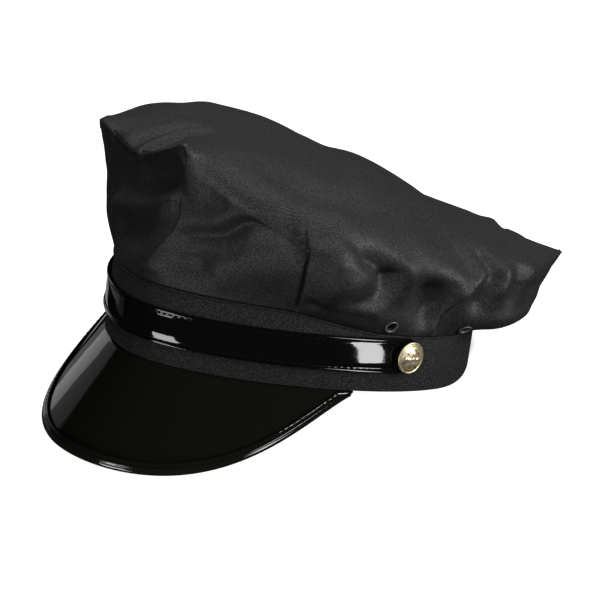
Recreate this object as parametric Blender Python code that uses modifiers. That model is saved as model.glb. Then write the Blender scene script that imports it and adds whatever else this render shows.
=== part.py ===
# Chauffeur cap with a soft eight-panel crown, standing by itself on the tip of its visor and
# the back of its head band. Sizes are in millimetres in the cap's own frame, where the band's
# lower edge lies in the plane z = 0, the front looks along -Y and the wearer's left is +X.
# Turns are degrees round the head from the front towards the wearer's left.

import bpy
import numpy as np
from mathutils import Matrix

# The sizes below give a head opening 557 mm round, and MM enlarges the whole cap so that the
# opening is 570 mm round, which suits an adult.
DRAWN_HEAD_ROUND = 557.0
HEAD_ROUND = 570.0
MM = 0.001 * HEAD_ROUND / DRAWN_HEAD_ROUND
GAP = 0.3

# Head band
HEAD_HALF_WIDTH = 90.4
HEAD_FRONT_LENGTH = 104.0
HEAD_BACK_LENGTH = 93.0
HEAD_FRONT_SQUARENESS = 1.55
HEAD_BACK_LEFT_SQUARENESS = 1.3
HEAD_BACK_RIGHT_SQUARENESS = 1.75
HEAD_SOFTNESS = 0.03
BAND_WALL = 2.4
BAND_STEPS = 96
# Each row is a turn and the height of the band's upper edge there.
BAND_HEIGHTS = [
    (0, 35.0),
    (30, 34.6),
    (45, 33.8),
    (58, 30.2),
    (69, 27.0),
    (88, 25.2),
    (110, 24.0),
    (180, 23.0),
    (250, 24.0),
    (272, 25.2),
    (291, 27.0),
    (302, 30.2),
    (315, 33.8),
    (330, 34.6),
]

# Crown
CROWN_WALL = 1.6
CROWN_STEPS = 80
CROWN_CENTRE_HEIGHT = 91.0
# Fractions of the side's height, and of the way out from the crown's centre to its top seam.
SIDE_LEVELS = [0.0, 0.07, 0.17, 0.3, 0.43, 0.56, 0.69, 0.82, 0.93]
TOP_LEVELS = [1.0, 0.96, 0.89, 0.79, 0.66, 0.52, 0.37, 0.2]
SIDE_SHAPE_LEVELS = [0.0, 0.15, 0.4, 0.7, 1.0]
TOP_SHAPE_LEVELS = [0.0, 0.375, 0.75, 1.0]
# Share of the way out beyond which the top takes up the seam's corners, and the turns over which
# the seam is averaged to round them.
CORNER_FADE = 0.7
SEAM_ROUNDING = [-20.0, -10.0, 0.0, 10.0, 20.0]
# One row for each station round the crown: turn; further turn of the side's foot on the band; x, y and z
# of the top seam; whether the seam has a corner; how far the side bulges out near its foot, low
# and high; height of the top at three quarters and three eighths of the way out to the seam.
STATIONS = [
    (0, -4, 4, -96, 97, True, 1.5, -2.5, -8, 96, 94),
    (15, -2, 25, -93, 86, False, 1.5, 1, -2, 93, 93),
    (30, -1, 44, -89, 81, False, 1, 2, 0, 89, 92),
    (45, 0, 65, -76, 70, True, 1, 2, 2, 84, 91),
    (55, -1, 79, -64, 73, False, 5, 8, 5, 83, 90),
    (65, -1, 87, -51, 67, False, 4, 5, 3, 81, 90),
    (78, -1, 98, -29, 63, False, 0, -3, -3, 77, 89),
    (90, -2, 102, 3, 56, True, 1, 2, 1, 72, 87),
    (105, -2, 108, 22, 64, False, 13, 11, 6, 69, 83),
    (120, -2, 102, 50, 63, False, 14, 13, 8, 65, 78),
    (135, -2, 84, 82, 56, True, 10, 9, 6, 61, 74),
    (157, -1, 48, 104, 51, False, 7, 6, 5, 57, 72),
    (180, 0, 0, 113, 51, True, 7, 6, 4, 59, 77),
    (203, 0, -46, 105, 53, False, 7, 6, 4, 64, 80),
    (225, 0, -80, 83, 60, True, 6, 5, 3, 71, 82),
    (248, 0, -99, 42, 70, False, 6, 6, 5, 84, 88),
    (270, 0, -104, 0, 76, True, 5, 5, 4, 91, 93),
    (293, 0, -93, -38, 90, False, 4, 4, 4, 97, 93),
    (315, 0, -74, -75, 89, True, 3, 2, -1, 95, 94),
    (338, -4, -35, -87, 84, False, 1.5, -3, -6, 93, 94),
]

# Folds of the crown, from the front round to the wearer's left: turn and level of the start, turn
# and level of the end, half width and height. A positive height is a ridge, a negative one a valley.
FOLDS = [
    # Centre-front seam and the panel on its left
    (0, 0.95, 5, 0.5, 5.0, 1.5),
    (5, 0.5, 0, 0.1, 5.0, 1.5),
    # Valley below the top edge, between the front corner and the next one
    (6, 1.0, 28, 1.0, 5.5, -2.5),
    (28, 1.0, 43, 1.0, 5.5, -2.5),
    (8, 1.07, 38, 1.09, 7.0, 2.5),
    (18, 0.75, 30, 0.92, 5.0, 2.5),
    (14, 0.5, 27, 0.74, 6.0, -3.0),
    (27, 0.74, 40, 0.93, 6.0, -3.0),
    (10, 0.22, 20, 0.25, 7.0, -1.5),
    (25, 0.35, 38, 0.5, 10.0, 2.0),
    # Seam at the front-left corner
    (45, 0.95, 47, 0.7, 5.5, -2.5),
    (47, 0.7, 45, 0.2, 5.0, -1.0),
    # Lump beside it and the arc of folds round the lump
    (50, 0.95, 61, 0.95, 6.5, -2.0),
    (61, 0.95, 69, 0.85, 6.5, -3.0),
    (69, 0.85, 72, 0.7, 6.5, -3.0),
    (72, 0.7, 66, 0.42, 6.5, -3.0),
    (66, 0.42, 59, 0.24, 6.0, -2.5),
    (55, 0.55, 58, 0.6, 12.0, 3.0),
    (76, 0.62, 73, 0.4, 6.0, 2.0),
    (75, 0.96, 86, 0.96, 5.5, 2.5),
    (81, 0.65, 85, 0.5, 8.0, -4.0),
    # Overlapping fold down the side seam, and the hollow behind it
    (93, 0.9, 88, 0.5, 5.5, 2.5),
    (88, 0.5, 86, 0.2, 5.5, 1.5),
    (96, 0.78, 92, 0.55, 6.0, -3.0),
    (95, 1.05, 97, 0.98, 6.0, -2.5),
    (103, 0.88, 101, 0.68, 6.0, 2.0),
    (103, 1.1, 122, 1.14, 8.0, -4.0),
    # Back and the wearer's right
    (150, 0.6, 165, 0.75, 8.0, -3.0),
    (173, 0.9, 178, 0.3, 5.5, 2.0),
    (200, 0.6, 215, 0.4, 8.0, -2.5),
    (225, 0.9, 223, 0.3, 5.5, 2.0),
    (240, 0.8, 252, 0.45, 8.0, -3.0),
    (262, 0.9, 268, 0.4, 6.0, 2.0),
    (285, 0.75, 300, 0.55, 9.0, -3.0),
    # Panel to the right of the centre front: two hollows with a soft ridge between
    (346, 0.8, 355, 0.78, 9.0, -4.0),
    (340, 0.25, 352, 0.32, 10.0, -4.0),
    (325, 0.4, 352, 0.52, 6.0, 3.0),
    (352, 0.52, 3, 0.6, 6.0, 2.0),
    # Pinched fold running back over the top from the dip in the front edge
    (337, 1.04, 337, 1.38, 4.5, 2.0),
    (330, 1.05, 328, 1.35, 6.0, -2.5),
]
# Share of the side's height over which the folds die away towards the foot.
FOOT_HOLD = 0.12

# Peak and its binding
PEAK_HALF_TURN = 67.0
PEAK_WIDTH = 52.3
PEAK_FULLNESS = 2.41
PEAK_TAPER = 1.45
PEAK_SLOPE = 56.5
PEAK_END_SLOPE = 60.7
PEAK_WALL = 1.8
PEAK_END = 0.965
PEAK_STEPS = 37
PEAK_ROWS = [0.0, 0.33, 0.67, 1.0]
BINDING_WALL = 0.8
BINDING_LEG = 5.5
BINDING_END = 0.955
BINDING_STEPS = 41
BINDING_ROOT_CLEARANCE = 0.6

# Chin strap
STRAP_WIDTH = 16.1
STRAP_HEIGHT = 17.3
STRAP_WALL = 1.3
STRAP_WELT_WIDTH = 2.2
STRAP_WELT_RISE = 0.7
STRAP_END_TURN = 77.0
STRAP_STEPS = 41
STRAP_ROUNDING = [20.0, 40.0, 58.0, 74.0, 85.0]

# Buttons
BUTTON_TURN = 77.9
BUTTON_FACING = 85.0
BUTTON_STAND_OFF = 1.1
BUTTON_STEPS = 20
# Each row is a radius and a height above the base.
BUTTON_PROFILE = [
    (0.0, -1.5),
    (2.2, -1.5),
    (2.2, 0.0),
    (6.7, 0.0),
    (7.35, 0.4),
    (7.35, 0.9),
    (6.9, 1.2),
    (6.3, 1.1),
    (5.6, 1.6),
    (4.0, 2.35),
    (2.0, 2.8),
    (0.0, 2.95),
]

# Eyelets, with each one's turn on the crown
EYELETS = [
    ("eyelet_left_front", 73.0),
    ("eyelet_left_back", 95.0),
    ("eyelet_right_front", -73.0),
    ("eyelet_right_back", -95.0),
]
EYELET_LEVEL = 0.115
EYELET_PATCH_TURN = 2.5
EYELET_PATCH_LEVEL = 0.05
EYELET_STEPS = 16
# Each row is a radius and a height above the crown's outer face.
EYELET_PROFILE = [
    (2.0, -2.2),
    (2.4, -2.2),
    (2.4, 0.4),
    (3.5, 0.4),
    (3.5, 0.8),
    (3.0, 1.2),
    (2.4, 1.2),
    (2.0, 0.8),
]
EYELET_HOLE_PROFILE = [(0.0, -8.0), (2.8, -8.0), (2.8, 8.0), (0.0, 8.0)]

# Rest pose
MOST_LEAN = 30.0
LEAN_HALVINGS = 40


def oval_factor(angle, squareness):
    """Length of the outline's radius vector relative to an ellipse, before scaling."""
    across = (np.sin(angle) ** 2 + HEAD_SOFTNESS) ** (squareness / 2)
    along = (np.cos(angle) ** 2 + HEAD_SOFTNESS) ** (squareness / 2)
    return (across + along) ** (-1 / squareness)


def outline(turn):
    """Points of the band's outer outline at the turns, at height zero."""
    angle = np.radians(np.asarray(turn, float))
    front = np.cos(angle) > 0
    back = np.where(np.sin(angle) > 0, HEAD_BACK_LEFT_SQUARENESS, HEAD_BACK_RIGHT_SQUARENESS)
    squareness = np.where(front, HEAD_FRONT_SQUARENESS, back)
    factor = oval_factor(angle, squareness) / oval_factor(0.0, squareness)
    length = np.where(front, HEAD_FRONT_LENGTH, HEAD_BACK_LENGTH)
    x = HEAD_HALF_WIDTH * factor * np.sin(angle)
    y = -length * factor * np.cos(angle)
    return np.stack([x, y, np.zeros_like(x)], axis=-1)


def outward(turn):
    """Unit vectors square to the outline, pointing away from the head."""
    turn = np.asarray(turn, float)
    along = outline(turn + 0.5) - outline(turn - 0.5)
    normal = np.stack([along[..., 1], -along[..., 0], np.zeros_like(along[..., 0])], axis=-1)
    return normal / np.linalg.norm(normal, axis=-1, keepdims=True)


def lift(points, height):
    """The points raised by the height."""
    raised = np.array(points, float)
    raised[..., 2] += height
    return raised


def hermite(start, end, start_slope, end_slope, part):
    """Cubic between two values with given slopes per unit of the part."""
    return (
        (2 * part**3 - 3 * part**2 + 1) * start
        + (part**3 - 2 * part**2 + part) * start_slope
        + (3 * part**2 - 2 * part**3) * end
        + (part**3 - part**2) * end_slope
    )


def round_the_head(turns, values, corners, wanted):
    """Smooth closed interpolation of the values round the head, kinked at the corners."""
    turns = np.asarray(turns, float)
    values = np.asarray(values, float)
    count = len(turns)
    wanted = np.mod(np.asarray(wanted, float), 360.0)
    first = np.searchsorted(turns, wanted, side="right") - 1
    second = (first + 1) % count
    steps = np.mod(np.roll(turns, -1) - turns, 360.0)
    rise = (np.roll(values, -1) - values) / steps
    smooth = (np.roll(values, -1) - np.roll(values, 1)) / (steps + np.roll(steps, 1))
    leaving = np.where(corners, rise, smooth)
    arriving = np.where(corners, np.roll(rise, 1), smooth)
    step = steps[first]
    part = (wanted - turns[first]) / step
    return hermite(values[first], values[second], leaving[first] * step, arriving[second] * step, part)


def through(levels, values, wanted):
    """Smooth interpolation through values given at levels, along the first axis."""
    slopes = np.gradient(values, levels, axis=0)
    first = min(int(np.searchsorted(levels, wanted, side="right")) - 1, len(levels) - 2)
    step = levels[first + 1] - levels[first]
    part = (wanted - levels[first]) / step
    return hermite(values[first], values[first + 1], slopes[first] * step, slopes[first + 1] * step, part)


def band_height(turn):
    """Height of the band's upper edge at the turns."""
    turns = [row[0] for row in BAND_HEIGHTS]
    heights = [row[1] for row in BAND_HEIGHTS]
    return round_the_head(turns, heights, [False] * len(turns), turn)


def station(column, turn):
    """A column of the stations' table interpolated smoothly at the turns."""
    turns = [row[0] for row in STATIONS]
    values = [row[column] for row in STATIONS]
    return round_the_head(turns, values, [False] * len(turns), turn)


def top_seam(turn):
    """Points of the crown's top seam, which has a kink at each corner."""
    turns = [row[0] for row in STATIONS]
    corners = [row[5] for row in STATIONS]
    axes = [[row[axis] for row in STATIONS] for axis in (2, 3, 4)]
    return np.stack([round_the_head(turns, axis, corners, turn) for axis in axes], axis=-1)


def rounded_seam(turn):
    """Plan of the top seam with its corners rounded away."""
    rounded = 0.0
    for offset in SEAM_ROUNDING:
        rounded = rounded + top_seam(turn + offset)[..., :2] / len(SEAM_ROUNDING)
    return rounded


def crown_base(turn, level):
    """Crown points before the folds: level 0 is the foot, 1 the top seam and 2 the centre."""
    seam = top_seam(turn)
    if level <= 1.0:
        foot_turn = turn + station(1, turn)
        foot = outline(foot_turn)
        foot[..., 2] = band_height(foot_turn) + GAP
        flat = np.zeros_like(foot_turn)
        bulges = [flat, station(6, turn), station(7, turn), station(8, turn), flat]
        bulge = through(SIDE_SHAPE_LEVELS, np.stack(bulges), level)
        return foot + level * (seam - foot) + outward(turn) * bulge[..., None]
    out = 2.0 - level
    sharp = np.clip((out - CORNER_FADE) / (1.0 - CORNER_FADE), 0.0, 1.0)
    centre = np.full_like(seam[..., 2], CROWN_CENTRE_HEIGHT)
    heights = [centre, station(10, turn), station(9, turn), seam[..., 2]]
    plan = seam[..., :2] * sharp + rounded_seam(turn) * (1.0 - sharp)
    height = through(TOP_SHAPE_LEVELS, np.stack(heights), out)
    return np.concatenate([plan * out, height[..., None]], axis=-1)


def grid_normals(points):
    """Outward unit normals of a grid of points that is closed along its first axis."""
    around = np.roll(points, -1, axis=0) - np.roll(points, 1, axis=0)
    upward = np.gradient(points, axis=1)
    normals = np.cross(around, upward)
    return normals / np.linalg.norm(normals, axis=-1, keepdims=True)


def distance_to_line(points, start, end):
    """Distance of each point to the straight line between start and end."""
    along = end - start
    part = np.clip((points - start) @ along / (along @ along), 0.0, 1.0)
    return np.linalg.norm(points - start - part[..., None] * along, axis=-1)


def crown_grid(turns, levels):
    """Crown points with their folds, one row of the grid for each turn."""
    points = np.stack([crown_base(turns, level) for level in levels], axis=1)
    normals = grid_normals(points)
    shift = np.zeros(points.shape[:2])
    for start_turn, start_level, end_turn, end_level, width, height in FOLDS:
        start = crown_base(np.array(float(start_turn)), start_level)
        end = crown_base(np.array(float(end_turn)), end_level)
        distance = distance_to_line(points, start, end)
        shift += height * np.exp(-((distance / width) ** 2))
    held = np.clip(np.asarray(levels) / FOOT_HOLD, 0.0, 1.0)
    return points + normals * (shift * held)[..., None]


def new_object(name, points, faces):
    """Mesh object from points in millimetres."""
    mesh = bpy.data.meshes.new(name)
    mesh.from_pydata([tuple(MM * float(value) for value in point) for point in points], [], faces)
    mesh.update()
    made = bpy.data.objects.new(name, mesh)
    bpy.context.scene.collection.objects.link(made)
    return made


def sweep_faces(rows, profile_count, closed):
    """Faces of a closed profile swept through the rows, with caps unless the sweep is closed."""
    faces = []
    for row in range(rows if closed else rows - 1):
        here = row * profile_count
        there = (row + 1) % rows * profile_count
        for index in range(profile_count):
            after = (index + 1) % profile_count
            faces.append((here + index, here + after, there + after, there + index))
    if not closed:
        last = (rows - 1) * profile_count
        faces.append(tuple(reversed(range(profile_count))))
        faces.append(tuple(last + index for index in range(profile_count)))
    return faces


def add_wall(made, thickness):
    """Gives an open sheet its thickness, on the side away from its normals."""
    wall = made.modifiers.new("wall", "SOLIDIFY")
    wall.thickness = thickness * MM
    wall.offset = -1.0


def make_band():
    turns = np.arange(BAND_STEPS) * 360.0 / BAND_STEPS
    outer = outline(turns)
    inner = outer - outward(turns) * BAND_WALL
    height = band_height(turns)
    section = np.stack([outer, inner, inner, outer], axis=1)
    section[:, 2, 2] += height
    section[:, 3, 2] += height
    return new_object("band", section.reshape(-1, 3), sweep_faces(BAND_STEPS, 4, True))


def make_crown():
    turns = np.arange(CROWN_STEPS) * 360.0 / CROWN_STEPS
    levels = SIDE_LEVELS + [2.0 - out for out in TOP_LEVELS]
    points = crown_grid(turns, levels).reshape(-1, 3)
    points = np.vstack([points, crown_base(np.array(0.0), 2.0)])
    count = len(levels)
    centre = len(points) - 1
    faces = []
    for step in range(CROWN_STEPS):
        here = step * count
        there = (step + 1) % CROWN_STEPS * count
        for index in range(count - 1):
            faces.append((here + index, there + index, there + index + 1, here + index + 1))
        faces.append((here + count - 1, there + count - 1, centre))
    made = new_object("crown", points, faces)
    add_wall(made, CROWN_WALL)
    return made


def peak_width(share):
    """Width of the peak at a share of its half turn, from -1 to 1."""
    return PEAK_WIDTH * (1.0 - np.abs(share) ** PEAK_FULLNESS) ** PEAK_TAPER


def peak_frame(share):
    """Root points of the peak with the directions down its slope and square to its upper face."""
    turn = share * PEAK_HALF_TURN
    slope = np.radians(PEAK_SLOPE + (PEAK_END_SLOPE - PEAK_SLOPE) * share**2)[:, None]
    out = outward(turn)
    down = np.array([0.0, 0.0, -1.0])
    along = out * np.cos(slope) + down * np.sin(slope)
    upper = out * np.sin(slope) - down * np.cos(slope)
    return lift(outline(turn), -GAP), along, upper


def make_peak():
    shares = np.linspace(-PEAK_END, PEAK_END, PEAK_STEPS)
    root, along, _ = peak_frame(shares)
    width = peak_width(shares) - BINDING_WALL - GAP
    rows = [root + along * (width * part)[:, None] for part in PEAK_ROWS]
    points = np.stack(rows, axis=1).reshape(-1, 3)
    count = len(PEAK_ROWS)
    faces = []
    for step in range(PEAK_STEPS - 1):
        here = step * count
        there = here + count
        for index in range(count - 1):
            faces.append((here + index, here + index + 1, there + index + 1, there + index))
    made = new_object("peak", points, faces)
    add_wall(made, PEAK_WALL)
    return made


def make_peak_binding():
    shares = np.linspace(-BINDING_END, BINDING_END, BINDING_STEPS)
    root, along, upper = peak_frame(shares)
    width = peak_width(shares)
    edge = root + along * width[:, None]
    leg = np.minimum(BINDING_LEG, width - BINDING_ROOT_CLEARANCE)
    outer = GAP + BINDING_WALL
    under = -PEAK_WALL
    nose = 0.5 * PEAK_WALL
    # Each row is the share of the leg's length back from the edge, a step back from the edge
    # and the height above the peak's upper face.
    profile = [
        (1.0, 0.0, GAP),
        (1.0, 0.0, outer),
        (0.0, nose, outer),
        (0.0, 0.0, outer - nose),
        (0.0, 0.0, under - outer + nose),
        (0.0, nose, under - outer),
        (1.0, 0.0, under - outer),
        (1.0, 0.0, under - GAP),
        (0.0, BINDING_WALL, under - GAP),
        (0.0, BINDING_WALL, GAP),
    ]
    rows = []
    for leg_share, back, height in profile:
        rows.append(edge - along * (leg_share * leg + back)[:, None] + upper * height)
    points = np.stack(rows, axis=1).reshape(-1, 3)
    return new_object("peak_binding", points, sweep_faces(BINDING_STEPS, len(profile), False))


def make_chin_strap():
    half = 0.5 * STRAP_WIDTH
    radius_turn = np.degrees(half / np.linalg.norm(outline(STRAP_END_TURN)))
    rounding = np.radians(STRAP_ROUNDING)
    main = np.linspace(-STRAP_END_TURN, STRAP_END_TURN, STRAP_STEPS)
    ends = STRAP_END_TURN + radius_turn * np.sin(rounding)
    turns = np.concatenate([-ends[::-1], main, ends])
    halves = np.concatenate(
        [half * np.cos(rounding)[::-1], np.full(STRAP_STEPS, half), half * np.cos(rounding)]
    )
    welt = np.minimum(STRAP_WELT_WIDTH, 0.6 * halves)
    raised = STRAP_WALL + STRAP_WELT_RISE
    # Each row is a share of the half width, a share of the welt's width and the height.
    profile = [
        (-1.0, 0.0, 0.0),
        (1.0, 0.0, 0.0),
        (1.0, 0.0, raised - 0.5 * STRAP_WELT_RISE),
        (1.0, -0.3, raised),
        (1.0, -0.7, raised),
        (1.0, -1.0, STRAP_WALL),
        (-1.0, 1.0, STRAP_WALL),
        (-1.0, 0.7, raised),
        (-1.0, 0.3, raised),
        (-1.0, 0.0, raised - 0.5 * STRAP_WELT_RISE),
    ]
    rows = []
    for share, welt_share, height in profile:
        row = outline(turns) + outward(turns) * (GAP + height)
        row[:, 2] = STRAP_HEIGHT + share * halves + welt_share * welt
        rows.append(row)
    points = np.stack(rows, axis=1).reshape(-1, 3)
    return new_object("chin_strap", points, sweep_faces(len(turns), len(profile), False))


def turned(name, profile, steps, centre, axis):
    """Solid turned about an axis, from a profile of radii and heights along the axis."""
    side = np.cross(axis, [0.0, 0.0, 1.0])
    side /= np.linalg.norm(side)
    upright = np.cross(side, axis)
    angles = np.arange(steps) * 2 * np.pi / steps
    rim = np.cos(angles)[:, None] * side + np.sin(angles)[:, None] * upright
    points = [centre + radius * spoke + height * axis for spoke in rim for radius, height in profile]
    return new_object(name, np.array(points), sweep_faces(steps, len(profile), True))


def make_buttons():
    for name, turn in (("button_left", BUTTON_TURN), ("button_right", -BUTTON_TURN)):
        facing = np.radians(BUTTON_FACING) * np.sign(turn)
        axis = np.array([np.sin(facing), -np.cos(facing), 0.0])
        base = GAP + STRAP_WALL + STRAP_WELT_RISE + GAP + BUTTON_STAND_OFF
        centre = lift(outline(turn), STRAP_HEIGHT) + outward(turn) * base
        turned(name, BUTTON_PROFILE, BUTTON_STEPS, centre, axis)


def crown_place(turn, level):
    """Point of the crown's outer face with its normal."""
    turns = turn + np.array([-EYELET_PATCH_TURN, 0.0, EYELET_PATCH_TURN])
    levels = [level - EYELET_PATCH_LEVEL, level, level + EYELET_PATCH_LEVEL]
    patch = np.stack([crown_base(turns, each) for each in levels], axis=1)
    normal = np.cross(patch[2, 1] - patch[0, 1], patch[1, 2] - patch[1, 0])
    return patch[1, 1], normal / np.linalg.norm(normal)


def make_eyelets(crown):
    for name, turn in EYELETS:
        centre, normal = crown_place(turn, EYELET_LEVEL)
        turned(name, EYELET_PROFILE, EYELET_STEPS, centre, normal)
        hole = turned(name + "_hole", EYELET_HOLE_PROFILE, EYELET_STEPS, centre, normal)
        hole.hide_render = True
        cut = crown.modifiers.new(name, "BOOLEAN")
        cut.operation = "DIFFERENCE"
        cut.solver = "EXACT"
        cut.object = hole


def mesh_points(made):
    """The object's own points in millimetres."""
    return np.array([vertex.co[:] for vertex in made.data.vertices]) / MM


def lowest(points, lean):
    """Lowest height of the points once the cap leans back by the angle."""
    return float((points[:, 2] * np.cos(lean) - points[:, 1] * np.sin(lean)).min())


def resting_lean(front, back):
    """Angle at which the front piece and the back of the band touch one plane."""
    small = 0.0
    large = np.radians(MOST_LEAN)
    for _ in range(LEAN_HALVINGS):
        middle = 0.5 * (small + large)
        if lowest(front, middle) < lowest(back, middle):
            small = middle
        else:
            large = middle
    return 0.5 * (small + large)


def stand_on_ground(binding, band):
    """Leans the whole cap into its rest pose and puts the middle of its foot at the origin."""
    lean = resting_lean(mesh_points(binding), mesh_points(band))
    turning = Matrix.Rotation(-lean, 4, "X")
    bpy.context.view_layer.update()
    graph = bpy.context.evaluated_depsgraph_get()
    corners = []
    for made in bpy.context.scene.objects:
        if made.hide_render:
            continue
        for vertex in made.evaluated_get(graph).data.vertices:
            corners.append((turning @ vertex.co)[:])
    low = np.min(corners, axis=0)
    high = np.max(corners, axis=0)
    shift = Matrix.Translation((-0.5 * (low[0] + high[0]), -0.5 * (low[1] + high[1]), -low[2]))
    for made in bpy.context.scene.objects:
        made.matrix_world = shift @ turning


def main():
    for old in list(bpy.data.objects):
        bpy.data.objects.remove(old)
    band = make_band()
    crown = make_crown()
    make_peak()
    binding = make_peak_binding()
    make_chin_strap()
    make_buttons()
    make_eyelets(crown)
    stand_on_ground(binding, band)


main()
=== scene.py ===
# Looks of the chauffeur cap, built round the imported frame. Sizes are in millimetres in the cap's own
# frame, as in the part: the band's lower edge lies in the plane z = 0, the front looks along -Y and
# the wearer's left is +X. Turns are degrees round the head from the front towards the wearer's left.

import bpy
import numpy as np
from mathutils import Matrix, Vector


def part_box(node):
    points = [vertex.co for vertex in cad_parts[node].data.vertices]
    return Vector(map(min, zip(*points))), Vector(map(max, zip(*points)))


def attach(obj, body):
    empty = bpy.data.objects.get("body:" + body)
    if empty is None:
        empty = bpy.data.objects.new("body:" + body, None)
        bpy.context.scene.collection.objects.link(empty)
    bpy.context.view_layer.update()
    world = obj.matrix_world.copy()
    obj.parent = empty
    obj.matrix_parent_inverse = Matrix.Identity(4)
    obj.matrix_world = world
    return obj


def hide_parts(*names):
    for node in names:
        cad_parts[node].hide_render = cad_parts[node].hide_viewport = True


# Scale of the drawing and lean of the cap as it stands on the tip of its visor and its band
MM = 0.001 * 570.0 / 557.0
LEAN = 11.4756
GAP = 0.3

# Head band
HEAD_HALF_WIDTH = 90.4
HEAD_FRONT_LENGTH = 104.0
HEAD_BACK_LENGTH = 93.0
HEAD_FRONT_SQUARENESS = 1.55
HEAD_BACK_LEFT_SQUARENESS = 1.3
HEAD_BACK_RIGHT_SQUARENESS = 1.75
HEAD_SOFTNESS = 0.03
BAND_WALL = 2.4
BAND_STEPS = 360
BAND_EDGE = 0.5
# Each row is a turn and the height of the band's upper edge there.
BAND_HEIGHTS = [
    (0, 35.0),
    (30, 34.6),
    (45, 33.8),
    (58, 30.2),
    (69, 27.0),
    (88, 25.2),
    (110, 24.0),
    (180, 23.0),
    (250, 24.0),
    (272, 25.2),
    (291, 27.0),
    (302, 30.2),
    (315, 33.8),
    (330, 34.6),
]

# Crown
CROWN_WALL = 1.6
CROWN_STEPS = 640
CROWN_SIDE_ROWS = 62
CROWN_TOP_ROWS = 62
CROWN_CENTRE_HEIGHT = 91.0
CROWN_CENTRE_OUT = 0.03
SIDE_SHAPE_LEVELS = [0.0, 0.15, 0.4, 0.7, 1.0]
TOP_SHAPE_LEVELS = [0.0, 0.375, 0.75, 1.0]
CORNER_FADE = 0.7
SEAM_ROUNDING = [-20.0, -10.0, 0.0, 10.0, 20.0]
# One row for each station round the crown: turn; further turn of the side's foot on the band; x, y and z
# of the top seam; whether the seam has a corner; how far the side bulges out near its foot, low
# and high; height of the top at three quarters and three eighths of the way out to the seam.
STATIONS = [
    (0, -4, 4, -96, 97, True, 1.5, -2.5, -8, 96, 94),
    (15, -2, 25, -93, 86, False, 1.5, 1, -2, 93, 93),
    (30, -1, 44, -89, 81, False, 1, 2, 0, 89, 92),
    (45, 0, 65, -76, 70, True, 1, 2, 2, 84, 91),
    (55, -1, 79, -64, 73, False, 5, 8, 5, 83, 90),
    (65, -1, 87, -51, 67, False, 4, 5, 3, 81, 90),
    (78, -1, 98, -29, 63, False, 0, -3, -3, 77, 89),
    (90, -2, 102, 3, 56, True, 1, 2, 1, 72, 87),
    (105, -2, 108, 22, 64, False, 13, 11, 6, 69, 83),
    (120, -2, 102, 50, 63, False, 14, 13, 8, 65, 78),
    (135, -2, 84, 82, 56, True, 10, 9, 6, 61, 74),
    (157, -1, 48, 104, 51, False, 7, 6, 5, 57, 72),
    (180, 0, 0, 113, 51, True, 7, 6, 4, 59, 77),
    (203, 0, -46, 105, 53, False, 7, 6, 4, 64, 80),
    (225, 0, -80, 83, 60, True, 6, 5, 3, 71, 82),
    (248, 0, -99, 42, 70, False, 6, 6, 5, 84, 88),
    (270, 0, -104, 0, 76, True, 5, 5, 4, 91, 93),
    (293, 0, -93, -38, 90, False, 4, 4, 4, 97, 93),
    (315, 0, -74, -75, 89, True, 3, 2, -1, 95, 94),
    (338, -4, -35, -87, 84, False, 1.5, -3, -6, 93, 94),
]
FOOT_HOLD = 0.12
# Columns to each side over which the cloth's map is evened out
MAP_REACH = 30
# Turns near which the columns of the crown stand closer; each row is a turn, a spread and a gain.
CLOSER_COLUMNS = [
    (3, 5, 3.6),
    (18, 10, 0.6),
    (46, 2.0, 6.0),
    (66, 9, 0.6),
    (91, 5, 3.0),
    (134, 1.5, 1.5),
    (181, 1.5, 1.5),
    (225.5, 1.5, 1.5),
    (270.5, 1.5, 1.5),
    (315, 2, 1.5),
    (337, 4, 1.0),
]

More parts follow.
